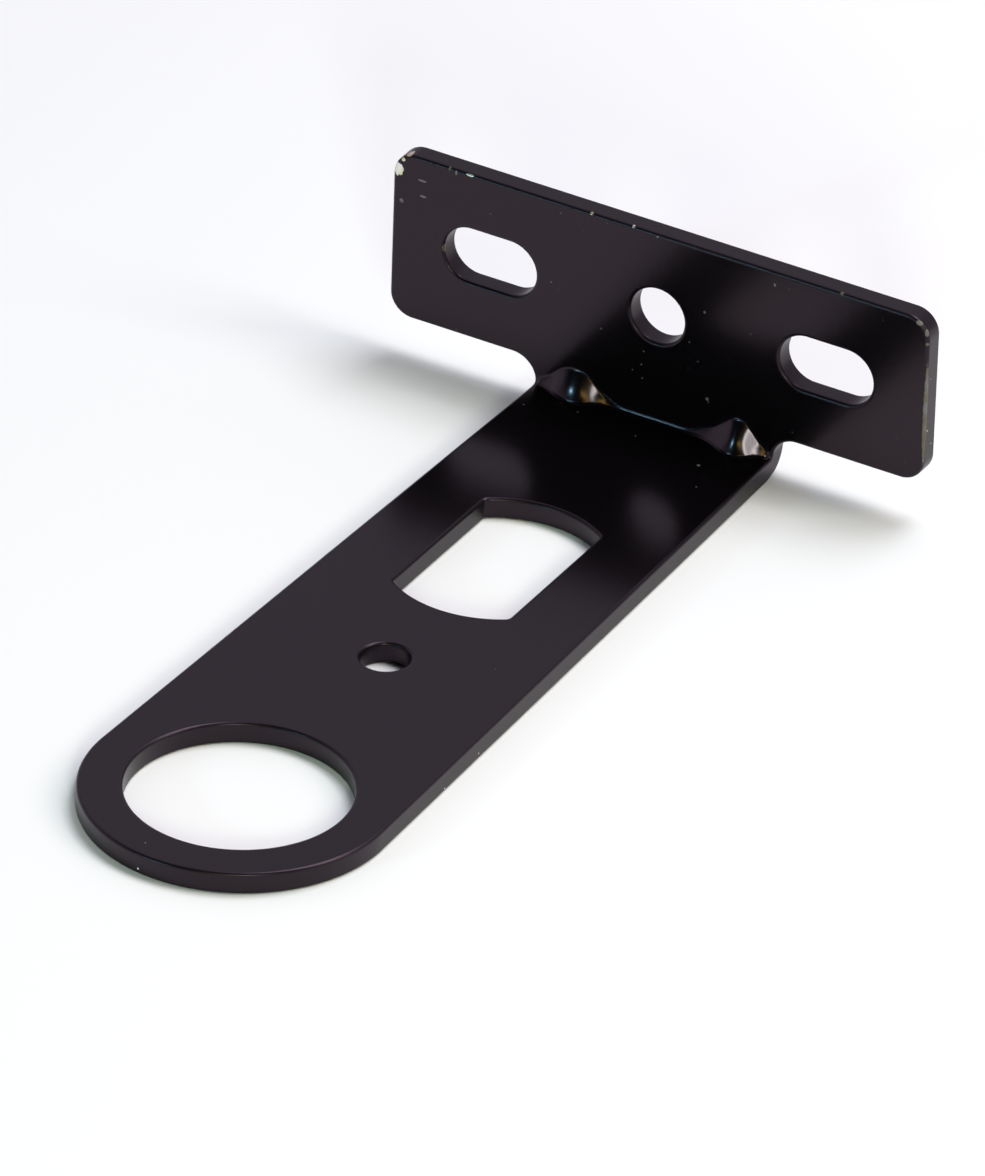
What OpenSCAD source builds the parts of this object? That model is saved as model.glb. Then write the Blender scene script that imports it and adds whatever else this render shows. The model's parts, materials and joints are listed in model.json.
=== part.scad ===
// Bicycle basket bracket: one piece of steel sheet, blanked, folded once and pressed.
// A flat arm carries the steerer hole in its round end, and a wide plate with the
// basket's bolt holes stands up at its far end. Two darts pressed into the fold
// stiffen the corner.
// The origin is the centre of the steerer hole on the arm's underside. +Y runs along
// the arm to the plate, +Z is up, and every length is in millimetres.

/* [Sheet] */
// Thickness of the steel sheet
sheet_t = 3; // [2:0.5:4]
// Inside radius of the fold
fold_r = 0.9; // [0.5:0.1:2]

/* [Arm] */
// Distance from the steerer hole's axis to the plate's front face
reach = 104.5; // [98:0.5:130]
// Diameter of the steerer hole
steerer_d = 29.2; // [25.8:0.1:32]
// Width of the ring of metal round the steerer hole
ring_w = 5.9; // [4:0.1:9]
// Width of the arm where it reaches the fold
arm_w = 35.4; // [33:0.2:42]
// Diameter of the small bolt hole in the arm
bolt_hole_d = 6.6; // [4.5:0.1:9]
// Width of the metal between the steerer hole and the small bolt hole
bolt_hole_gap = 18.2; // [12:0.1:20]

/* [Window] */
// Length of the window along the arm, which is its round ends' diameter
window_l = 29; // [24:0.5:32]
// Width of the window across its two flat sides
window_w = 17.1; // [12:0.1:20]
// Width of the metal between the window and the plate's front face
window_gap = 25.7; // [20:0.1:28]

/* [Plate] */
// Width of the plate
plate_w = 79.5; // [72:0.5:110]
// Height of the plate's ears, from their lower edge to the top edge
plate_h = 24.5; // [20:0.5:40]
// Radius of the plate's four corners
corner_r = 3.3; // [1:0.1:6]
// Height of the ears' lower edge above the arm's top face, filled by the root fillets
root_r = 3.5; // [2:0.1:6]

/* [Basket bolt holes] */
// Distance between the centres of the two slots
slot_pitch = 50; // [40:0.5:54]
// Length of each slot, end to end
slot_l = 13.8; // [9:0.1:16]
// Width of each slot
slot_w = 8; // [5:0.1:9]
// Diameter of the round hole between the slots
plate_hole_d = 8; // [4.5:0.1:10]

/* [Darts] */
// Distance from a dart's ridge to the side of the arm
dart_inset = 5.7; // [5.2:0.1:8]
// Width of a dart along the fold
dart_w = 10.4; // [9:0.1:11]
// Distance that a dart reaches along the arm from the corner
dart_run = 2.7; // [2.4:0.1:4]
// Distance that a dart reaches up the plate from the corner
dart_rise = 4.8; // [4:0.1:5.6]
// Radius at the bottom of the hollow that the punch leaves, on the outside of the fold
dart_hollow_r = 0.5; // [0.3:0.1:1]

/* [Hidden] */
$fn = 128;

// How far a cut runs past the faces that it opens
cut = 1;
// How far a flat side passes inside the round end that it meets, so that they cross cleanly
slack = 0.005;

// Arm
end_r = steerer_d / 2 + ring_w;
fold_y = reach - fold_r;
bolt_hole_y = (steerer_d + bolt_hole_d) / 2 + bolt_hole_gap;
window_y = reach - window_gap - window_l / 2;

// Direction, seen from above, in which the round end runs into the tapered side
side_r = end_r - slack;
taper_a = atan2(fold_y, arm_w / 2) - acos(side_r / norm([arm_w / 2, fold_y]));

// Plate
ear_z = sheet_t + root_r;
plate_top = ear_z + plate_h;
hole_z = ear_z + plate_h / 2;

// Darts, measured from the corner where the two inside faces would meet.
// The ridge and the hollow have one centre line, one sheet thickness apart.
dart_x = arm_w / 2 - dart_inset;
dart_slope = atan2(dart_rise, dart_run);
ridge_r = dart_hollow_r + sheet_t;
nose_v = dart_run * sin(dart_slope) - ridge_r;
flank_a = atan2(nose_v, dart_w / 2) + asin(ridge_r / norm([dart_w / 2, nose_v]));
corner_depth = sheet_t * sqrt(2);

// Rectangle with rounded corners, centred across and standing on y = 0
module rounded_rect(w, h, r) {
    translate([-w / 2, r]) square([w, h - 2 * r]);
    translate([-w / 2 + r, 0]) square([w - 2 * r, h]);
    for (x = [-w / 2 + r, w / 2 - r], y = [r, h - r])
        translate([x, y]) circle(r = r);
}

// Slot with round ends, centred
module slot(l, w) {
    square([l - w, w], center = true);
    for (x = [-(l - w) / 2, (l - w) / 2])
        translate([x, 0]) circle(d = w);
}

// Arm seen from above: the round end and the sides that taper to the fold
module arm_outline() {
    circle(r = end_r);
    polygon([
        [side_r * cos(taper_a), side_r * sin(taper_a)],
        [arm_w / 2, fold_y],
        [-arm_w / 2, fold_y],
        [-side_r * cos(taper_a), side_r * sin(taper_a)]
    ]);
}

// Fold and plate seen from the side, with y to the right and z up
module side_profile() {
    translate([reach, sheet_t + fold_r]) square([sheet_t, plate_top - sheet_t - fold_r]);
    translate([fold_y, sheet_t + fold_r])
        difference() {
            intersection() {
                circle(r = fold_r + sheet_t);
                translate([0, -fold_r - sheet_t]) square(fold_r + sheet_t);
            }
            circle(r = fold_r);
        }
}

// Plate seen from the front: the neck, its root fillets and the two ears
module front_outline() {
    translate([0, ear_z]) rounded_rect(plate_w, plate_h, corner_r);
    translate([-arm_w / 2, 0]) square([arm_w, ear_z + plate_h / 2]);
    difference() {
        translate([-arm_w / 2 - root_r, sheet_t]) square([arm_w + 2 * root_r, root_r + corner_r]);
        for (side = [-1, 1])
            translate([side * (arm_w / 2 + root_r), sheet_t]) circle(r = root_r);
    }
}

// Folded sheet before its holes and darts
module folded_sheet() {
    linear_extrude(sheet_t) arm_outline();
    intersection() {
        rotate([90, 0, 90]) linear_extrude(plate_w + 2 * cut, center = true) side_profile();
        translate([0, reach + sheet_t + cut, 0])
            rotate([90, 0, 0]) linear_extrude(sheet_t + fold_r + 2 * cut) front_outline();
    }
}

// Holes in the arm: steerer hole, small bolt hole and window
module arm_holes() {
    translate([0, 0, -cut]) cylinder(d = steerer_d, h = sheet_t + 2 * cut);
    translate([0, bolt_hole_y, -cut]) cylinder(d = bolt_hole_d, h = sheet_t + 2 * cut);
    translate([0, window_y, -cut])
        linear_extrude(sheet_t + 2 * cut)
            intersection() {
                circle(d = window_l);
                square([window_w, window_l], center = true);
            }
}

// Holes in the plate: a round hole between two slots, on the ears' centre line
module plate_holes() {
    translate([0, reach - cut, hole_z])
        rotate([-90, 0, 0]) {
            cylinder(d = plate_hole_d, h = sheet_t + 2 * cut);
            for (side = [-1, 1])
                translate([side * slot_pitch / 2, 0, 0])
                    linear_extrude(sheet_t + 2 * cut) slot(slot_l, slot_w);
        }
}

// Section across a dart: a round nose, and two flanks that fall to a flat base
module dart_section(r, base_v) {
    flank_u = (r - slack) * sin(flank_a);
    flank_v = nose_v + (r - slack) * cos(flank_a);
    base_u = flank_u + (flank_v - base_v) / tan(flank_a);
    intersection() {
        translate([0, nose_v]) circle(r = r);
        translate([-r, base_v]) square([2 * r, nose_v + 2 * r - base_v]);
    }
    polygon([[flank_u, flank_v], [base_u, base_v], [-base_u, base_v], [-flank_u, flank_v]]);
}

// Carries a dart's section along its slope, from the arm to the plate across the corner
module across_corner(l) {
    translate([0, reach, sheet_t])
        rotate([90 + dart_slope, 0, 0]) linear_extrude(l, center = true) children();
}

// Ridges that the darts raise on the inside, rooted at the middle of the sheet
module dart_ridges() {
    intersection() {
        for (side = [-1, 1])
            translate([side * dart_x, 0, 0])
                across_corner(2 * (dart_rise + sheet_t)) dart_section(ridge_r, 0);
        translate([-arm_w / 2, reach - 2 * dart_run, sheet_t / 2])
            cube([arm_w, 2 * dart_run + sheet_t / 2, 2 * dart_rise]);
    }
}

// Hollows that the punch leaves on the outside
module dart_hollows() {
    for (side = [-1, 1])
        translate([side * dart_x, 0, 0])
            across_corner(4 * corner_depth) dart_section(dart_hollow_r, -corner_depth - cut);
}

module bracket() {
    color("#2b292d")
        difference() {
            union() {
                folded_sheet();
                dart_ridges();
            }
            arm_holes();
            plate_holes();
            dart_hollows();
        }
}

bracket();
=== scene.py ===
# %% [markdown]
# # A basket bracket, folded from one sheet of steel
#
# The bracket is a flat blank with six holes, folded once through a right angle, with two
# darts pressed into the fold and black paint over everything. The solid model gives its
# sizes. This lesson builds the same sheet again as one fine mesh whose cut edges are
# rounded and whose darts blend softly into the fold, because those small curves are what
# catches the light on black paint. Then it paints the sheet, chips the paint, and lights it.

# %% The frame
import json
import math

import bpy
import numpy as np
from mathutils import Matrix, Vector
from mathutils.geometry import delaunay_2d_cdt


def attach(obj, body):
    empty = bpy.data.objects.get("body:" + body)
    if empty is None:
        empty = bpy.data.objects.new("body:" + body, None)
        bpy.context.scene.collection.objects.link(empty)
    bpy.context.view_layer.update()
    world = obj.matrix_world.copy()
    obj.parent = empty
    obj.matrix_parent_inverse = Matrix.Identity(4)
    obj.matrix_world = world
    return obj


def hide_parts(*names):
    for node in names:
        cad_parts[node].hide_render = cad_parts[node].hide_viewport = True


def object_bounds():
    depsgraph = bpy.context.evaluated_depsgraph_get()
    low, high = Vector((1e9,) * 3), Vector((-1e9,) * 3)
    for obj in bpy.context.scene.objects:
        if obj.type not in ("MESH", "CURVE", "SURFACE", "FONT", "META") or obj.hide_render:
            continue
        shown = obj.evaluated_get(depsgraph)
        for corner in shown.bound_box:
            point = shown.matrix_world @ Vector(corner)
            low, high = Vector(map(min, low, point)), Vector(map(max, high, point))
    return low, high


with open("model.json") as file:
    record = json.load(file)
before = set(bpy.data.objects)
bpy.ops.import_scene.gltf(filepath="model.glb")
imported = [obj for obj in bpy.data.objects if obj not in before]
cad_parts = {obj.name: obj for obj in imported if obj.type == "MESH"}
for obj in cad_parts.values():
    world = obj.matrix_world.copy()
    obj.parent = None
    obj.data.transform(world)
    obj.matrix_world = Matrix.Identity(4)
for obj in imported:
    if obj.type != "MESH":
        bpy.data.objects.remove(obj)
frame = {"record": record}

cad_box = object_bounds()
print("solid model from", cad_box[0][:], "to", cad_box[1][:])

# %% [markdown]
# ## Sizes
#
# Everything is worked out in millimetres and scaled to metres at the end. The sizes that
# the solid model states are read from it, so that the two can't drift apart. The round
# holes and the slots come from its mounts, the overall sizes from its box, and the
# window's place from the opening that is kept clear there. What it doesn't state is
# written here: the fold, the arm's width at it, the corners, the window's own size and
# the darts.

# %% Sizes that the solid model states
MM = 0.001
mounts = {m["name"]: m for m in frame["record"]["mounts"]}
steerer = mounts["steerer_hole"]["dims"]
slots = mounts["plate_slots"]["dims"]

sheet_t = steerer["length_mm"]
steerer_r = steerer["r_mm"]
bolt_hole_r = mounts["arm_bolt_hole"]["dims"]["r_mm"]
bolt_hole_y = mounts["arm_bolt_hole"]["pos_m"][1] / MM
plate_hole_r = mounts["plate_centre_hole"]["dims"]["r_mm"]
hole_z = mounts["plate_centre_hole"]["pos_m"][2] / MM
slot_pitch = slots["spacing_x_mm"]
slot_l = slots["slot_length_mm"]
slot_r = slots["hole_r_mm"]

plate_w = (cad_box[1].x - cad_box[0].x) / MM
plate_top = cad_box[1].z / MM
end_r = -cad_box[0].y / MM
reach = cad_box[1].y / MM - sheet_t
ear_z = 2 * hole_z - plate_top
root_r = ear_z - sheet_t
openings = {o["name"]: o for o in frame["record"]["physics"]["openings"]}
window_box = openings["arm_window"]["box_m"]
window_y = (window_box[0][1] + window_box[1][1]) / 2 / MM
print(f"sheet {sheet_t} thick, arm {reach:.1f} long, plate {plate_w:.1f} wide")

# %% Sizes that are only written here
fold_r = 0.9
arm_w = 35.4
corner_r = 3.3
window_l = 29.0
window_w = 17.1
window_corner_r = 0.9
dart_run = 2.7
dart_rise = 4.8
print(f"window {window_w} across and {window_l} along, fold radius {fold_r}")

# %% [markdown]
# ## Camera
#
# The photograph was taken with a long lens from the front right and above. The camera
# goes on the line of sight that fits the bracket's outlines, far back, so that its
# perspective is as weak as the photograph's.

# %% Camera
CAMERA_AZIMUTH = 29.124
CAMERA_ELEVATION = 31.876
CAMERA_ROLL = 1.968
CAMERA_AIM = (2.32, 59.23, 1.92)
CAMERA_DISTANCE = 2270.0
CAMERA_LENS = 543.9
CAMERA_SENSOR = 36
CAMERA_CLIP = (0.1, 50)


def make_camera():
    """Looks at the aim point from the given direction, then turns about its own line of sight
    by the roll."""
    azimuth = math.radians(CAMERA_AZIMUTH)
    elevation = math.radians(CAMERA_ELEVATION)
    back = Vector((
        math.sin(azimuth) * math.cos(elevation),
        -math.cos(azimuth) * math.cos(elevation),
        math.sin(elevation),
    ))
    data = bpy.data.cameras.new("camera")
    data.lens = CAMERA_LENS
    data.sensor_width = CAMERA_SENSOR
    data.clip_start, data.clip_end = CAMERA_CLIP
    camera = bpy.data.objects.new("camera", data)
    roll = Matrix.Rotation(math.radians(CAMERA_ROLL), 3, "Z")
    turn = back.to_track_quat("Z", "Y").to_matrix() @ roll
    place = (Vector(CAMERA_AIM) + back * CAMERA_DISTANCE) * MM
    camera.matrix_world = Matrix.Translation(place) @ turn.to_4x4()
    bpy.context.scene.collection.objects.link(camera)
    bpy.context.scene.camera = camera
    return camera


camera = make_camera()
print("camera at", [round(c, 3) for c in camera.matrix_world.translation])

# %% [markdown]
# ## The flat blank
#
# A press first cuts the flat shape, so the mesh starts from the same flat shape too. Its
# outline is made of straight stretches and arcs. Across is x. The other direction, s, runs
# along the arm, through the fold and up the plate, as a tape laid on the sheet would.

# %% Straight stretches and arcs
FINE_STEP = 0.35
COARSE_STEP = 1.2


def straight(start, end, step=COARSE_STEP):
    """Points from start towards end at even steps: start + (end - start) * i / n, without
    the end."""
    start, end = np.array(start, float), np.array(end, float)
    n = max(1, math.ceil(np.linalg.norm(end - start) / step))
    return start + (end - start) * np.linspace(0, 1, n, endpoint=False)[:, None]


def arc(centre, radius, first, last, step=FINE_STEP):
    """Points on centre + radius * (cos a, sin a), with a in degrees from first towards last,
    without the last."""
    n = max(3, math.ceil(abs(math.radians(last - first)) * radius / step))
    a = np.radians(np.linspace(first, last, n, endpoint=False))
    return np.array(centre, float) + radius * np.stack([np.cos(a), np.sin(a)], 1)


# %% The tape through the fold
fold_s = reach - fold_r
fold_length = (fold_r + sheet_t / 2) * math.pi / 2
plate_s = fold_s + fold_length
inner_top = sheet_t + fold_r
print(f"the fold takes {fold_length:.2f} of the tape, from {fold_s:.2f} to {plate_s:.2f}")


def height_to_s(z):
    """How far along the tape a height on the inside face lies. Inside the fold the height is
    sheet_t + fold_r * (1 - cos(turn)), and the turn grows evenly along the tape."""
    z = np.asarray(z, float)
    turn = np.arccos(np.clip(1 - (z - sheet_t) / fold_r, 0, 1))
    in_fold = fold_s + fold_length * turn / (math.pi / 2)
    return np.where(z < inner_top, in_fold, plate_s + z - inner_top)


def along_tape(points):
    """Takes outline points in x and height to points in x and s."""
    return np.stack([points[:, 0], height_to_s(points[:, 1])], 1)


# %% Outer outline of the blank
NEAR_FOLD = 2
NEAR_FOLD_STEP = 0.3
FILLET_STEP = 0.15


def outer_outline():
    """One loop, anticlockwise: right side, root fillet, right ear, top edge, the same back down
    the left, and the round end. The sides are the straight lines that touch its circle."""
    half = arm_w / 2
    taper = math.degrees(math.atan2(fold_s, half) - math.acos(end_r / math.hypot(half, fold_s)))
    touch = end_r * np.array([math.cos(math.radians(taper)), math.sin(math.radians(taper))])
    bend = np.array([half, fold_s])
    near_bend = bend + (touch - bend) * NEAR_FOLD / np.linalg.norm(touch - bend)
    ear = plate_w / 2
    right_up = np.concatenate([
        straight(touch, near_bend),
        straight(near_bend, bend, NEAR_FOLD_STEP),
        along_tape(arc((half + root_r, sheet_t), root_r, 180, 90, FILLET_STEP)),
        along_tape(straight((half + root_r, ear_z), (ear - corner_r, ear_z))),
        along_tape(arc((ear - corner_r, ear_z + corner_r), corner_r, -90, 0)),
        along_tape(straight((ear, ear_z + corner_r), (ear, plate_top - corner_r))),
        along_tape(arc((ear - corner_r, plate_top - corner_r), corner_r, 0, 90)),
    ])
    top = along_tape(straight((ear - corner_r, plate_top), (-ear + corner_r, plate_top)))
    left_down = right_up[1:][::-1] * [-1, 1]
    end_corner = np.array([[-ear + corner_r, height_to_s(plate_top)]])
    round_end = arc((0, 0), end_r, 180 - taper, 360 + taper)
    return np.concatenate([right_up, top, end_corner, left_down, round_end])


outline = outer_outline()
print(len(outline), "points round the blank")

# %% [markdown]
# ## The holes
#
# A hole's loop runs clockwise, so that the metal is on its left, as it is on the left of
# the outer loop. One rule then serves every edge. The window is a circle with two flat
# sides, and its four corners are softened as a worn punch leaves them.

# %% Outlines of the holes
SLOT_SIDE_STEP = 0.7
WINDOW_CORNER_STEP = 0.1
plate_hole_s = float(height_to_s(hole_z))


def round_hole(centre, radius):
    """A clockwise circle."""
    return arc(centre, radius, 360, 0)


def slot_outline(centre):
    """Two half circles joined by straight sides, clockwise."""
    x, s = centre
    run = slot_l / 2 - slot_r
    return np.concatenate([
        arc((x + run, s), slot_r, 90, -90),
        straight((x + run, s - slot_r), (x - run, s - slot_r), SLOT_SIDE_STEP),
        arc((x - run, s), slot_r, 270, 90),
        straight((x - run, s + slot_r), (x + run, s + slot_r), SLOT_SIDE_STEP),
    ])


def window_outline():
    """A circle cut by two flats, clockwise. Each corner's arc touches both: its centre is
    window_corner_r inside the flat, and its distance from the window's centre is the
    circle's radius less window_corner_r."""
    r = window_corner_r
    big = window_l / 2
    x = window_w / 2 - r
    s = math.sqrt((big - r) ** 2 - x ** 2)
    lean = math.degrees(math.atan2(s, x))
    corner = arc((x, s), r, lean, 0, WINDOW_CORNER_STEP)
    bow = arc((0, 0), big, 180 - lean, lean)
    flat = straight((window_w / 2, s), (window_w / 2, -s))
    first = np.array([[window_w / 2, -s]])
    half = np.concatenate([bow, corner, flat, first, corner[1:][::-1] * [1, -1]])
    return np.concatenate([half, -half]) + [0, window_y]


loops = {
    "outer": outline,
    "steerer": round_hole((0, 0), steerer_r),
    "bolt": round_hole((0, bolt_hole_y), bolt_hole_r),
    "window": window_outline(),
    "plate": round_hole((0, plate_hole_s), plate_hole_r),
    "slot_left": slot_outline((-slot_pitch / 2, plate_hole_s)),
    "slot_right": slot_outline((slot_pitch / 2, plate_hole_s)),
}
print({name: len(loop) for name, loop in loops.items()})

# %% [markdown]
# ## Folding
#
# Every point of the sheet has a place x across, s along the tape, and a depth below the
# inside face. Folding is one formula that takes those three numbers to space: straight
# along the arm, round a quarter turn in the fold, and straight up the plate. The press
# squeezes the inside of the fold, so there the quarter turn is squarer than a circle.

# %% The fold
SQUARENESS = 4


def fold(x, s, depth):
    """Turn = 90 degrees * share of the fold passed. About the fold's axis,
    y = axis + radius * sin(turn) and z = axis - radius * cos(turn), plus the height up the
    plate. Outside, the radius is fold_r + sheet_t. Inside, it is fold_r * square, with
    square = (cos^n + sin^n)^(-1/n) of the turn and n = SQUARENESS, and it changes evenly
    from one face to the other."""
    turn = np.clip((s - fold_s) / fold_length, 0, 1) * math.pi / 2
    square = (np.cos(turn) ** SQUARENESS + np.sin(turn) ** SQUARENESS) ** (-1 / SQUARENESS)
    radius = depth + fold_r * (1 + (square - 1) * (1 - depth / sheet_t))
    y = np.minimum(s, fold_s) + radius * np.sin(turn)
    z = inner_top - radius * np.cos(turn) + np.maximum(s - plate_s, 0)
    return np.stack([x, y, z], -1)


# %% [markdown]
# ## The darts
#
# A punch drives two darts into the outside of the fold, and each raises a blunt ridge on
# the inside. The ridge climbs steeply, because it reaches further up the plate than along
# the arm. Seen along its slope, its section is two flat flanks that meet in a soft nose.
# So each face is treated as a height above the corner, square to the slope, and the dart
# is the higher of the face and that section. The nose is softer towards its two ends, and
# most of all at the foot, so that a lamp shows on it as a dot and not as a line. The
# punches were worn, so the two darts differ a little. The hollow outside has the same
# flanks, one sheet thickness deeper.
#
# Below, lift is the direction square to the slope, and climb the direction up it. Each
# dart has its ridge's place across, the height where its flanks would meet, the angles of
# its two flanks in degrees, and how far its nose is rounded.

# %% Sections of the two darts
slope = math.atan2(dart_rise, dart_run)
lift = np.array([0, -math.sin(slope), math.cos(slope)])
climb = np.array([0, math.cos(slope), math.sin(slope)])
ridge_middle = (dart_rise * math.sin(slope) - dart_run * math.cos(slope)) / 2
ridge_half_l = (dart_rise * math.sin(slope) + dart_run * math.cos(slope)) / 2

LEFT_DART = {"x": -11.5, "peak": 2.66, "left": 25.2, "right": 26.6, "nose": 2.6}
RIGHT_DART = {"x": 12.9, "peak": 2.55, "left": 22.0, "right": 29.0, "nose": 1.25}
NOSE_AT_FOOT = 1.6
NOSE_AT_TOP = 0.6
HOLLOW_NOSE = 0.5
PLATE_SOFTNESS = 0.10
ARM_SOFTNESS = 0.35
ARM_SOFTNESS_PER_MM = 0.30
SOFTER_OUT_TO = 2.5
SOFT_UP_TO = 0.2
SOFT_FADES_IN = 1.6
print(f"darts slope {math.degrees(slope):.0f} degrees, ridges {2 * ridge_half_l:.1f} long")


def soft_max(a, b, softness):
    """The larger of a and b, rounded off where they are within softness:
    max + softness * h^2 / 4, with h = 1 - |a - b| / softness."""
    h = np.maximum(softness - np.abs(a - b), 0) / softness
    return np.maximum(a, b) + softness * h * h / 4


def dart_height(dart, x, along, depth):
    """The lower of the two flanks, peak - depth / cos(angle) - u * tan(angle), with u measured
    out from the ridge, and rounded off where they meet. The rounding grows with the square
    of the distance from the ridge's middle, more towards the foot than towards the top."""
    u = x - dart["x"]
    left, right = math.radians(dart["left"]), math.radians(dart["right"])
    left_flank = dart["peak"] - depth / math.cos(left) + u * math.tan(left)
    right_flank = dart["peak"] - depth / math.cos(right) - u * math.tan(right)
    nose = dart["nose"] if depth == 0 else HOLLOW_NOSE
    from_middle = (along - ridge_middle) / ridge_half_l
    nose = nose + np.where(from_middle < 0, NOSE_AT_FOOT, NOSE_AT_TOP) * from_middle ** 2
    return -soft_max(-left_flank, -right_flank, nose)


def press(points, depth):
    """Moves points square to the dart's slope, up to the section's height where that is
    higher. The dart runs out sharply on the plate. On the arm it does so more softly, and
    the more so the further from the ridge, up to SOFTER_OUT_TO."""
    from_corner = points - [0, reach, sheet_t]
    height = from_corner @ lift
    along = from_corner @ climb
    x = points[:, 0]
    right_target = dart_height(RIGHT_DART, x, along, depth)
    left_target = dart_height(LEFT_DART, x, along, depth)
    target = np.where(x > 0, right_target, left_target)
    from_ridge = np.where(x > 0, np.abs(x - RIGHT_DART["x"]), np.abs(x - LEFT_DART["x"]))
    arm_softness = ARM_SOFTNESS + ARM_SOFTNESS_PER_MM * np.minimum(from_ridge, SOFTER_OUT_TO)
    ease = np.clip((along - SOFT_UP_TO) / SOFT_FADES_IN, 0, 1)
    softness = arm_softness + (PLATE_SOFTNESS - arm_softness) * ease * ease * (3 - 2 * ease)
    raised = soft_max(height, target, softness)
    return points + (raised - height)[:, None] * lift


# %% [markdown]
# ## Edges
#
# A punched edge isn't sharp: the cut rolls over on one side, and the paint rounds the
# rest. The edge's section is a profile of depth and distance from the outline, carried
# along every loop. A row of points just past each rounding keeps the flats truly flat.

# %% Section of an edge
EDGE_R = 0.42
BACK_EDGE_R = 0.3
EDGE_STEPS = 5
HOLD = 0.08


def edge_profile():
    """Rows of (distance in from the outline, depth): a quarter circle
    r * (1 - sin a, 1 - cos a) at the face, a straight wall held at both ends, and a quarter
    circle at the back."""
    a = np.linspace(0, math.pi / 2, EDGE_STEPS + 1)
    front = EDGE_R * np.stack([1 - np.sin(a), 1 - np.cos(a)], 1)
    back = BACK_EDGE_R * np.stack([1 - np.sin(a), 1 - np.cos(a)], 1)
    back[:, 1] = sheet_t - back[:, 1]
    wall = np.array([[0, EDGE_R + HOLD], [0, sheet_t - BACK_EDGE_R - HOLD]])
    return np.concatenate([front, wall, back[::-1]])


def inward(loop):
    """Unit vectors into the metal: the mean direction of the two stretches at each point,
    turned left."""
    ahead = np.roll(loop, -1, 0) - loop
    ahead /= np.linalg.norm(ahead, axis=1)[:, None]
    mean = ahead + np.roll(ahead, 1, 0)
    mean /= np.linalg.norm(mean, axis=1)[:, None]
    return np.stack([-mean[:, 1], mean[:, 0]], 1)


profile = edge_profile()
print(len(profile), "rows down each edge")

# %% Rims along every loop
def rim(loop, start):
    """The profile carried along a loop: point = loop + distance * inward, at the profile's
    depth. Returns the points, and quads that join each row and column to the next, the last
    column to the first."""
    rows, columns = len(profile), len(loop)
    across = loop[None] + profile[:, :1, None] * inward(loop)[None]
    depth = np.broadcast_to(profile[:, 1:], (rows, columns))
    points = fold(across[..., 0], across[..., 1], depth).reshape(-1, 3)
    i = np.arange(columns)
    j = np.arange(rows - 1)[:, None]
    here = start + j * columns + i
    ahead = start + j * columns + (i + 1) % columns
    quads = np.stack([here, here + columns, ahead + columns, ahead], -1).reshape(-1, 4)
    return points, quads


rim_points, rim_quads, starts = [], [], {}
count = 0
for name, loop in loops.items():
    points, quads = rim(loop, count)
    starts[name] = count
    count += len(points)
    rim_points.append(points)
    rim_quads.append(quads)
rim_points = np.concatenate(rim_points)
rim_quads = np.concatenate(rim_quads)
print(len(rim_points), "points and", len(rim_quads), "quads in the rims")

# %% [markdown]
# ## The two faces
#
# Between the rims lie the two faces. Each is a flat net of triangles, joined up by a
# Delaunay triangulation, which avoids slivers, and folded afterwards. It is coarse where
# the sheet is flat, and fine across the fold, where a grid of points lets it bend and
# carry the darts.

# %% Net points inside the outline
GRID_STEP = 0.2
GRID_PAST = 6.5
GRID_CLEARANCE = 0.35
DARTS_FROM = 5.2
MIDDLE_COLUMNS = 16
WITH_HULL = 0
MERGE_WITHIN = 1e-6
edge_in = profile[0, 0]
back_in = profile[-1, 0]


def fold_grid():
    """A grid over the fold and the darts: every GRID_STEP along s and near the darts, and
    coarser across the middle."""
    half = arm_w / 2 - edge_in - GRID_CLEARANCE
    s = np.arange(fold_s - GRID_PAST, plate_s + GRID_PAST, GRID_STEP)
    near = np.arange(DARTS_FROM, half, GRID_STEP)
    middle = np.linspace(-near[0], near[0], MIDDLE_COLUMNS)[1:-1]
    x = np.concatenate([-near[::-1], middle, near])
    xx, ss = np.meshgrid(x, s)
    return np.stack([xx.ravel(), ss.ravel()], 1)


def face_net(distance):
    """Triangulates the space between the loops, moved in by distance, with a held row and the
    grid inside. That fills the points' whole hull, so the triangles outside the metal are
    left out after it. Returns the flat points, the loops' own first, and the triangles."""
    first = [loop + distance * inward(loop) for loop in loops.values()]
    held = [loop + (distance + HOLD) * inward(loop) for loop in loops.values()]
    points = np.concatenate(first + held + [fold_grid()])
    edges, at = [], 0
    for loop in first + held:
        i = np.arange(len(loop))
        edges.append(np.stack([at + i, at + (i + 1) % len(loop)], 1))
        at += len(loop)
    edges = np.concatenate(edges)
    flat = [Vector(p) for p in points]
    _, _, faces, origin, _, _ = delaunay_2d_cdt(flat, edges.tolist(), [], WITH_HULL, MERGE_WITHIN)
    where = np.array([o[0] for o in origin])
    triangles = where[np.array(faces)]
    return points, triangles[inside(points[triangles].mean(1), first)]


def inside(centres, borders):
    """True where a point is inside the outer border and outside every hole's: a ray along x
    crosses the borders an odd number of times."""
    state = np.zeros(len(centres), bool)
    for loop in borders:
        a, b = loop, np.roll(loop, -1, 0)
        x, s = centres[:, 0, None], centres[:, 1, None]
        spans = (a[None, :, 1] > s) != (b[None, :, 1] > s)
        run = np.where(b[:, 1] == a[:, 1], 1, b[:, 1] - a[:, 1])
        at = a[None, :, 0] + (s - a[None, :, 1]) * (b - a)[None, :, 0] / run[None]
        state ^= (np.count_nonzero(spans & (x < at), axis=1) % 2).astype(bool)
    return state


net, net_triangles = face_net(edge_in)
print(len(net), "points and", len(net_triangles), "triangles in the inside face's net")

# %% The sheet as one closed mesh
def rim_row(row):
    """Indices of one row of every rim, in the order in which the net lists the loops' points."""
    return np.concatenate([
        starts[name] + row * len(loop) + np.arange(len(loop)) for name, loop in loops.items()])


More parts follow.
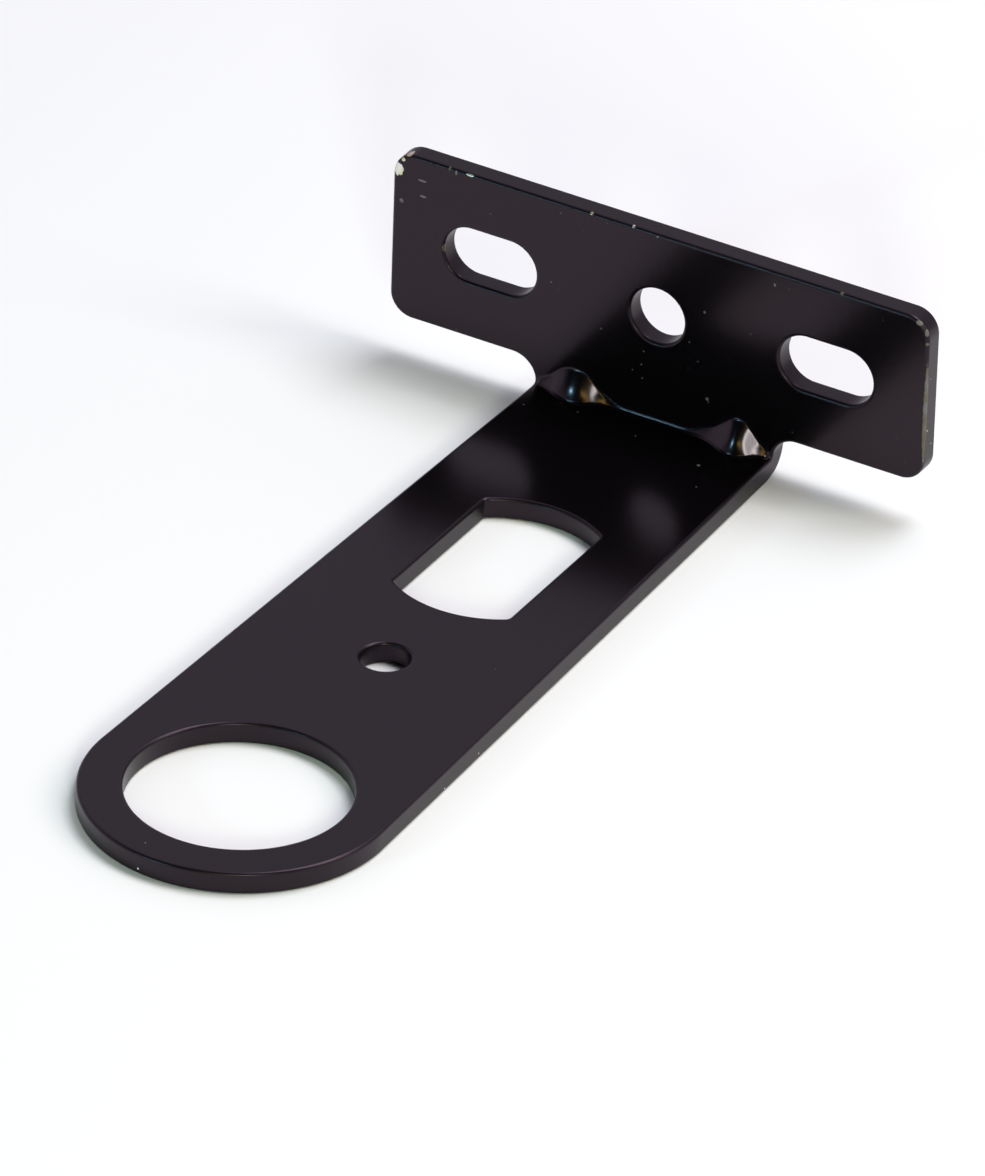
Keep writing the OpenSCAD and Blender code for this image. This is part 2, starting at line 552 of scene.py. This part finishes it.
def face(flat, triangles, depth, row, start):
    """One face's own points, folded to its depth, and its triangles with the rim's points
    put in."""
    on_rim = rim_row(row)
    own = flat[len(on_rim):]
    index = np.concatenate([on_rim, start + np.arange(len(own))])
    return fold(own[:, 0], own[:, 1], np.full(len(own), depth)), index[triangles]


def sheet_mesh():
    """Rims, inside face and outside face, with the darts pressed in and the outside face's
    triangles turned over so that every face points out of the metal."""
    front, front_faces = face(net, net_triangles, depth=0.0, row=0, start=len(rim_points))
    back_net, back_triangles = face_net(back_in)
    back, back_faces = face(
        back_net, back_triangles[:, ::-1], depth=sheet_t, row=len(profile) - 1,
        start=len(rim_points) + len(front))
    points = np.concatenate([
        rim_points,
        press(front, 0),
        press(back, sheet_t),
    ]) * MM
    mesh = bpy.data.meshes.new("bracket_sheet")
    faces = rim_quads.tolist() + front_faces.tolist() + back_faces.tolist()
    mesh.from_pydata(points.tolist(), [], faces)
    mesh.polygons.foreach_set("use_smooth", np.ones(len(mesh.polygons), bool))
    mesh.update()
    return mesh


sheet = bpy.data.objects.new("painted_sheet", sheet_mesh())
bpy.context.scene.collection.objects.link(sheet)
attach(sheet, "root")
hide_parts("bracket")
print(len(sheet.data.vertices), "points,", len(sheet.data.polygons), "faces")

# %% Is it closed?
def open_edges(mesh):
    """Counts edges that don't have exactly two faces."""
    used = np.zeros(len(mesh.loops), np.int32)
    mesh.loops.foreach_get("edge_index", used)
    return int(np.count_nonzero(np.bincount(used, minlength=len(mesh.edges)) != 2))


print("edges that aren't shared by two faces:", open_edges(sheet.data))

# %% [markdown]
# ## Where the edges are
#
# Paint chips first along the edges, so the material has to know where they are. Every rim
# point carries the number 1 and every face point 0, in an attribute that the shader reads.

# %% Edge attribute
def mark_edges(mesh, count):
    """Gives the first count points, which are the rims', the value 1."""
    value = np.zeros(len(mesh.vertices), np.float32)
    value[:count] = 1
    mesh.attributes.new("edge", "FLOAT", "POINT").data.foreach_set("value", value)


mark_edges(sheet.data, len(rim_points))
print("edge points:", len(rim_points))

# %% [markdown]
# ## Paint
#
# The real finish is black enamel, dipped or sprayed and baked. It has hardly any colour of
# its own, so nearly all that shows on it is reflection, a little blurred. Four small
# things make it real: a faint orange peel, chips and scrapes where the basket's bolts and
# the bench knocked it, and dust. Besides, a painted highlight, a pale streak down the
# plate's right edge, stands in for light on that rounded edge. Chips, scrapes and that
# highlight are one node group and dust is another, so that their recipe is kept apart from
# the paint's.

# %% Node helpers
def add(tree, kind, inputs=None, **settings):
    """Adds a node, sets its properties, and sets or links its inputs by name or number."""
    node = tree.nodes.new(kind)
    for name, value in settings.items():
        setattr(node, name, value)
    for key, value in (inputs or {}).items():
        socket = node.inputs[key]
        if isinstance(value, bpy.types.NodeSocket):
            tree.links.new(value, socket)
        else:
            socket.default_value = value
    return node


def math_node(tree, operation, *values):
    """One Math node. Each value is a number or another node's socket."""
    return add(tree, "ShaderNodeMath", dict(enumerate(values)), operation=operation).outputs[0]


def vector_node(tree, operation, *values):
    """One Vector Math node. A length or a dot product comes out as a number."""
    node = add(tree, "ShaderNodeVectorMath", dict(enumerate(values)), operation=operation)
    return node.outputs["Value" if operation in ("LENGTH", "DOT_PRODUCT") else "Vector"]


def step_node(tree, value, low, high):
    """0 below low, 1 above high, and smooth between them. With high below low it falls instead."""
    return add(
        tree, "ShaderNodeMapRange", {"Value": value, "From Min": low, "From Max": high},
        interpolation_type="SMOOTHSTEP").outputs["Result"]


def mix_colour(tree, share, first, second):
    """First colour at share 0, second at share 1. A Mix node has its colours at sockets 6 and 7."""
    return add(tree, "ShaderNodeMix", {0: share, 6: first, 7: second}, data_type="RGBA").outputs[2]


def mix_value(tree, share, first, second):
    """The same for numbers, which a Mix node has at sockets 2 and 3."""
    return add(tree, "ShaderNodeMix", {0: share, 2: first, 3: second}, data_type="FLOAT").outputs[0]


def place_in_mm(tree):
    """Object coordinates, in millimetres."""
    place = add(tree, "ShaderNodeTexCoord").outputs["Object"]
    return vector_node(tree, "MULTIPLY", place, (1 / MM, 1 / MM, 1 / MM))


def new_group(name, inputs, outputs):
    """An empty shader group with number sockets, and its input and output nodes. The inputs
    are given with their values."""
    group = bpy.data.node_groups.new(name, "ShaderNodeTree")
    sockets = group.interface
    for label, value in inputs.items():
        socket = sockets.new_socket(name=label, in_out="INPUT", socket_type="NodeSocketFloat")
        socket.default_value = value
    for label in outputs:
        sockets.new_socket(name=label, in_out="OUTPUT", socket_type="NodeSocketFloat")
    return group, group.nodes.new("NodeGroupInput"), group.nodes.new("NodeGroupOutput")


# %% [markdown]
# ## Chips, scrapes and a painted highlight
#
# The knocks are at the plate's top left corner and along its top edge, where the paint is
# gone down to the primer or the steel. The scrapes are thin marks on the plate, its top
# edge, one slot and the arm, where only part of the paint is gone, and pale marks round its
# right top corner. The long mark down the plate's right edge is a painted highlight, a
# steel or primer coloured streak where that rounded edge catches light. They all get a share
# of the same mask, SCRAPE_AND_HIGHLIGHT_DEPTH. The rest of the edges has only pinpricks. Each
# knock, each scrape and the highlight is an ellipsoid with its centre and half sizes in
# millimetres, and noise pushes its outline about, so that it breaks off like paint.

# %% Places of the knocks, scrapes and the painted highlight
KNOCKS = [
    ((-39.0, 104.5, 28.4), (0.75, 0.60, 0.95)),
    ((-38.3, 104.6, 30.0), (0.30, 0.45, 0.28)),
    ((-37.6, 105.2, 30.8), (0.50, 0.70, 0.35)),
    ((-28.3, 104.6, 30.8), (0.55, 0.25, 0.16)),
    ((-10.2, 104.6, 30.9), (0.22, 0.30, 0.18)),
    ((-4.0, 104.7, 30.9), (0.20, 0.35, 0.18)),
]
SCRAPES_AND_HIGHLIGHT = [
    ((-35.4, 104.5, 27.7), (0.60, 0.20, 0.15)),
    ((-35.2, 104.5, 25.4), (0.45, 0.20, 0.17)),
    ((-38.4, 104.5, 23.8), (0.30, 0.20, 0.30)),
    ((-31.4, 104.7, 30.8), (0.18, 0.30, 0.25)),
    ((-30.4, 104.5, 30.5), (0.15, 0.25, 0.35)),
    ((17.1, 104.5, 29.1), (0.20, 0.20, 0.20)),
    ((26.8, 104.7, 30.9), (0.25, 0.30, 0.20)),
    ((7.9, 104.5, 8.9), (0.24, 0.20, 0.24)),
    ((10.5, 98.1, 3.0), (0.22, 0.22, 0.20)),
    ((7.0, 104.5, 21.7), (0.16, 0.20, 0.16)),
    ((38.2, 104.7, 30.2), (0.45, 0.30, 0.35)),
    ((39.35, 104.7, 29.1), (0.25, 0.30, 0.65)),
    ((39.5, 104.65, 27.5), (0.25, 0.30, 0.22)),
    # A painted highlight, not a scrape: a long steel or primer coloured streak down the plate's
    # right edge, where that rounded edge catches light.
    ((39.65, 104.7, 17.0), (0.30, 0.32, 7.50)),
    ((-32.0, 104.8, 18.6), (0.30, 0.30, 0.60)),
]
# The share of the mask for the scrapes and the painted highlight.
SCRAPE_AND_HIGHLIGHT_DEPTH = 0.17


# %% Group for the chips, scrapes and painted highlight
OUTLINE_NOISE = {"Scale": 2.6, "Detail": 3.0, "Roughness": 0.6}
OUTLINE_FROM_TO = (1.05, 0.95)
PRICK_CELLS = 0.45
PRICK_RADIUS = (0.075, 0.05)
PRICK_IN_CELLS_OVER = (0.80, 0.81)
PRICK_ON_EDGE = (0.5, 0.9)
WARMTH_NOISE = {"Scale": 0.35, "Detail": 1.0}
WARMTH_FROM_TO = (0.45, 0.6)


def nearest(tree, place, ellipsoids):
    """The smallest of the lengths of (place - centre) / half sizes."""
    least = None
    for centre, half in ellipsoids:
        away = vector_node(tree, "SUBTRACT", place, centre)
        away = vector_node(tree, "LENGTH", vector_node(tree, "DIVIDE", away, half))
        least = away if least is None else math_node(tree, "MINIMUM", least, away)
    return least


def marks(tree, place, ellipsoids, rough):
    """1 where the nearest ellipsoid's length, with the noise added, is under 1."""
    length = math_node(tree, "ADD", nearest(tree, place, ellipsoids), rough)
    return step_node(tree, length, *OUTLINE_FROM_TO)


def chips_and_highlight_group():
    """Chipped is the largest of the knocks, SCRAPE_AND_HIGHLIGHT_DEPTH times the scrapes and
    the painted highlight down the plate's right edge, and the pinpricks, which are the middles
    of some Voronoi cells where they lie on an edge. The noise on the marks' outlines is
    Roughening * 2 * (noise - 0.5). Warmth is a slow noise, which picks primer or steel."""
    group, given, result = new_group(
        "chipped_paint", {"Edge": 0.0, "Roughening": 0.5}, ["Chipped", "Warmth"])
    place = place_in_mm(group)
    noise = add(group, "ShaderNodeTexNoise", {"Vector": place, **OUTLINE_NOISE})
    rough = math_node(group, "SUBTRACT", noise.outputs["Fac"], 0.5)
    rough = math_node(group, "MULTIPLY", rough, 2.0)
    rough = math_node(group, "MULTIPLY", rough, given.outputs["Roughening"])
    knocked = marks(group, place, KNOCKS, rough)
    # The scrapes, with the painted highlight down the plate's right edge among them.
    scraped_or_lit = marks(group, place, SCRAPES_AND_HIGHLIGHT, rough)
    scraped_or_lit = math_node(group, "MULTIPLY", scraped_or_lit, SCRAPE_AND_HIGHLIGHT_DEPTH)
    pricks = add(group, "ShaderNodeTexVoronoi", {"Vector": place, "Scale": PRICK_CELLS})
    chance = add(group, "ShaderNodeSeparateColor", {"Color": pricks.outputs["Color"]})
    small = step_node(group, pricks.outputs["Distance"], *PRICK_RADIUS)
    has_prick = step_node(group, chance.outputs["Red"], *PRICK_IN_CELLS_OVER)
    on_edge = step_node(group, given.outputs["Edge"], *PRICK_ON_EDGE)
    small = math_node(group, "MULTIPLY", math_node(group, "MULTIPLY", small, has_prick), on_edge)
    mask = math_node(group, "MAXIMUM", math_node(group, "MAXIMUM", knocked, scraped_or_lit), small)
    group.links.new(mask, result.inputs["Chipped"])
    slow = add(group, "ShaderNodeTexNoise", {"Vector": place, **WARMTH_NOISE})
    warm = step_node(group, slow.outputs["Fac"], *WARMTH_FROM_TO)
    group.links.new(warm, result.inputs["Warmth"])
    return group


chips = chips_and_highlight_group()
print(len(KNOCKS), "knocks,", len(SCRAPES_AND_HIGHLIGHT), "scrapes,", len(chips.nodes), "nodes")

# %% [markdown]
# ## Dust
#
# Specks of dust settle where a cloth doesn't reach, which is near the fold. They are cells
# of a Voronoi pattern: only a few cells carry one, and only its very middle is dust.

# %% Dust group
FOLD_MIDDLE = (0.0, 104.0, 3.0)
DUST_CELLS = 0.9
SPECK_RADIUS = (0.13, 0.07)
DUST_FADES = (12.0, 40.0)
DUST_FAR_AWAY = 0.1


def dust_group():
    """Dust is over 0 within a speck's radius of a cell's middle, in the share of the cells that
    have one, and each speck has its own strength. The share is full up to the first of
    DUST_FADES from the fold's middle, and falls to DUST_FAR_AWAY of it at the second."""
    group, given, result = new_group("dust_specks", {"Share": 0.1}, ["Dust"])
    place = place_in_mm(group)
    cells = add(group, "ShaderNodeTexVoronoi", {"Vector": place, "Scale": DUST_CELLS})
    speck = step_node(group, cells.outputs["Distance"], *SPECK_RADIUS)
    chance = add(group, "ShaderNodeSeparateColor", {"Color": cells.outputs["Color"]})
    away = vector_node(group, "LENGTH", vector_node(group, "SUBTRACT", place, FOLD_MIDDLE))
    thinner = mix_value(group, step_node(group, away, *DUST_FADES), 1.0, DUST_FAR_AWAY)
    share = math_node(group, "MULTIPLY", given.outputs["Share"], thinner)
    spare = math_node(group, "SUBTRACT", 1.0, share)
    has_speck = math_node(group, "GREATER_THAN", chance.outputs["Green"], spare)
    strength = math_node(group, "MULTIPLY", speck, chance.outputs["Blue"])
    group.links.new(math_node(group, "MULTIPLY", strength, has_speck), result.inputs["Dust"])
    return group


dust = dust_group()
print("dust group has", len(dust.nodes), "nodes")

# %% [markdown]
# ## Black enamel
#
# The enamel is nearly black and fairly glossy, and a little duller on the edges, where
# handling has rubbed it. Its reflections are tinted slightly violet: painted light colour,
# which stands in for a violet cast of the room's light and is no colour of the enamel. Chips
# show steel or pale primer, and so does the painted highlight down the plate's right edge.
# A Bump node adds the orange peel, and sinks the chips and that highlight by CHIP_DEPTH
# times the peel's height. The numbers that don't change over the surface are set on the
# shader itself, because that is where an export looks for them.

# %% Enamel material
PAINT_COLOUR = (0.0022, 0.0016, 0.0021, 1)
# Steel and primer show in the chips, and also in the painted highlight down the plate's right edge.
STEEL_AND_HIGHLIGHT_COLOUR = (0.80, 0.80, 0.78, 1)
PRIMER_AND_HIGHLIGHT_COLOUR = (0.62, 0.58, 0.34, 1)
DUST_COLOUR = (0.22, 0.20, 0.19, 1)
PAINT_ROUGHNESS = 0.18
EDGE_ROUGHNESS = 0.33
CHIP_ROUGHNESS = 0.42
DUST_ROUGHNESS = 0.9
# Tints every reflection violet: painted light colour for the room's violet cast.
VIOLET_LIGHT_TINT = (1.0, 0.74, 0.95, 1)
PAINT_IOR = 1.4
CHIP_ROUGHENING = 0.45
CHIP_DEPTH = 12.0
DUST_SHARE = 0.04
PEEL_NOISE = {"Scale": 700.0, "Detail": 1.0}
PEEL_HEIGHT = 0.000004


def black_paint():
    """Enamel over steel: the mask of the chips and of the painted highlight mixes colour and
    roughness and is the metalness, and dust lies over it. Height = peel - CHIP_DEPTH *
    chipped_or_lit."""
    material = bpy.data.materials.new("black_paint")
    material.use_nodes = True
    tree = material.node_tree
    bsdf = tree.nodes["Principled BSDF"]
    bsdf.inputs["IOR"].default_value = PAINT_IOR
    bsdf.inputs["Specular Tint"].default_value = VIOLET_LIGHT_TINT
    edge = add(tree, "ShaderNodeAttribute", attribute_name="edge").outputs["Fac"]
    chip_values = {"Edge": edge, "Roughening": CHIP_ROUGHENING}
    chip = add(tree, "ShaderNodeGroup", chip_values, node_tree=chips)
    chipped_or_lit = chip.outputs["Chipped"]
    specks = add(tree, "ShaderNodeGroup", {"Share": DUST_SHARE}, node_tree=dust).outputs["Dust"]
    # Steel or primer, for the chips and for the painted highlight.
    bare_or_lit = mix_colour(tree, chip.outputs["Warmth"], STEEL_AND_HIGHLIGHT_COLOUR, PRIMER_AND_HIGHLIGHT_COLOUR)
    colour = mix_colour(tree, chipped_or_lit, PAINT_COLOUR, bare_or_lit)
    colour = mix_colour(tree, specks, colour, DUST_COLOUR)
    rough = mix_value(tree, edge, PAINT_ROUGHNESS, EDGE_ROUGHNESS)
    rough = mix_value(tree, chipped_or_lit, rough, CHIP_ROUGHNESS)
    rough = mix_value(tree, specks, rough, DUST_ROUGHNESS)
    place = add(tree, "ShaderNodeTexCoord").outputs["Object"]
    peel = add(tree, "ShaderNodeTexNoise", {"Vector": place, **PEEL_NOISE}).outputs["Fac"]
    height = math_node(tree, "SUBTRACT", peel, math_node(tree, "MULTIPLY", chipped_or_lit, CHIP_DEPTH))
    bump = add(tree, "ShaderNodeBump", {"Height": height, "Distance": PEEL_HEIGHT, "Strength": 1.0})
    tree.links.new(colour, bsdf.inputs["Base Color"])
    tree.links.new(rough, bsdf.inputs["Roughness"])
    tree.links.new(chipped_or_lit, bsdf.inputs["Metallic"])
    tree.links.new(bump.outputs["Normal"], bsdf.inputs["Normal"])
    return material


sheet.data.materials.append(black_paint())
print("paint has", len(sheet.data.materials[0].node_tree.nodes), "nodes")

# %% [markdown]
# ## Floor
#
# A sheet of white card. It is large, so that every reflection that looks down finds it, and
# it lies a tenth of a millimetre under the bracket, so that the two faces don't flicker.

# %% Floor
FLOOR_SIZE = 12.0
FLOOR_HEIGHT = -0.0001
FLOOR_COLOUR = (0.92, 0.92, 0.92, 1)


def make_floor():
    """One square, matt and without gloss."""
    mesh = bpy.data.meshes.new("floor")
    h = FLOOR_SIZE / 2
    mesh.from_pydata([(-h, -h, 0), (h, -h, 0), (h, h, 0), (-h, h, 0)], [], [(0, 1, 2, 3)])
    floor = bpy.data.objects.new("floor", mesh)
    floor.location.z = FLOOR_HEIGHT
    bpy.context.scene.collection.objects.link(floor)
    material = bpy.data.materials.new("floor")
    material.use_nodes = True
    bsdf = material.node_tree.nodes["Principled BSDF"]
    bsdf.inputs["Base Color"].default_value = FLOOR_COLOUR
    bsdf.inputs["Roughness"].default_value = 1
    bsdf.inputs["Specular IOR Level"].default_value = 0
    mesh.materials.append(material)


make_floor()
print("floor", FLOOR_SIZE, "m wide")

# %% [markdown]
# ## Studio light
#
# Glossy black shows its surroundings, so the light is planned as a room round the object.
# The room is a slightly violet grey, and dark in front and overhead. Large soft lamps stand
# at the right and above, a dim one low at the left, and three small ones in front make the
# sparkles on the darts.

# %% Room
ROOM_GREY = 0.545
ROOM_DARK = 0.016
ROOM_TINT = (0.94, 0.85, 1.0, 1)
DARK_TOWARDS = (0.10, -0.72, 0.69)
DARK_COSINES = (0.45, 0.70)


def make_room():
    """Room brightness by direction: grey where the cosine to DARK_TOWARDS is under the first of
    DARK_COSINES, dark where it is over the second, and in between at the places between."""
    world = bpy.data.worlds.new("studio")
    bpy.context.scene.world = world
    world.use_nodes = True
    tree = world.node_tree
    direction = add(tree, "ShaderNodeTexCoord").outputs["Generated"]
    facing = vector_node(tree, "DOT_PRODUCT", direction, DARK_TOWARDS)
    share = step_node(tree, facing, *DARK_COSINES)
    grey = mix_value(tree, share, ROOM_GREY, ROOM_DARK)
    tree.links.new(grey, tree.nodes["Background"].inputs["Strength"])
    tree.nodes["Background"].inputs["Color"].default_value = ROOM_TINT


make_room()
print("room from", ROOM_DARK, "in front to", ROOM_GREY, "behind")

# %% Lamps
LAMP_AIM = Vector((0, 0.075, 0.01))
LAMP_DISTANCE = 1.0


def make_lamp(name, towards, size, strength, colour):
    """A rectangular lamp that stands towards a direction and looks at the object, its width
    level. Its power is pi * distance^2 * strength, so that strength is the light that falls
    on a surface which faces it."""
    data = bpy.data.lights.new(name, "AREA")
    data.shape = "RECTANGLE"
    data.size, data.size_y = size
    data.energy = math.pi * LAMP_DISTANCE ** 2 * strength
    data.color = colour
    lamp = bpy.data.objects.new(name, data)
    back = Vector(towards).normalized()
    side = Vector((-back.y, back.x, 0)).normalized()
    up = back.cross(side)
    turn = Matrix((side, up, back)).transposed()
    lamp.matrix_world = Matrix.Translation(LAMP_AIM + back * LAMP_DISTANCE) @ turn.to_4x4()
    bpy.context.scene.collection.objects.link(lamp)


# Name, direction, width and height in metres, strength, colour
LAMPS = [
    ("soft_right", (0.72, 0.12, 0.68), (0.30, 0.60), 1.3, (1.0, 0.92, 0.82)),
    ("soft_top", (0.17, 0.28, 0.945), (0.45, 0.45), 1.8, (0.90, 0.94, 1.0)),
    ("white_key", (0.52, -0.785, 0.335), (0.14, 0.16), 0.9, (0.82, 1.0, 0.78)),
    ("warm_strip", (0.22, -0.91, 0.31), (0.32, 0.035), 0.17, (1.0, 0.80, 0.18)),
    ("cool_spot", (-0.39, -0.885, 0.225), (0.08, 0.07), 0.48, (0.36, 0.90, 1.0)),
    ("soft_left", (-0.94, -0.32, 0.10), (0.50, 0.36), 0.04, (1.0, 1.0, 1.0)),
]
for row in LAMPS:
    make_lamp(*row)
print(len(LAMPS), "lamps")

# %% Colours as they are
# The Standard view shows each colour as it is written.
bpy.context.scene.view_settings.view_transform = "Standard"
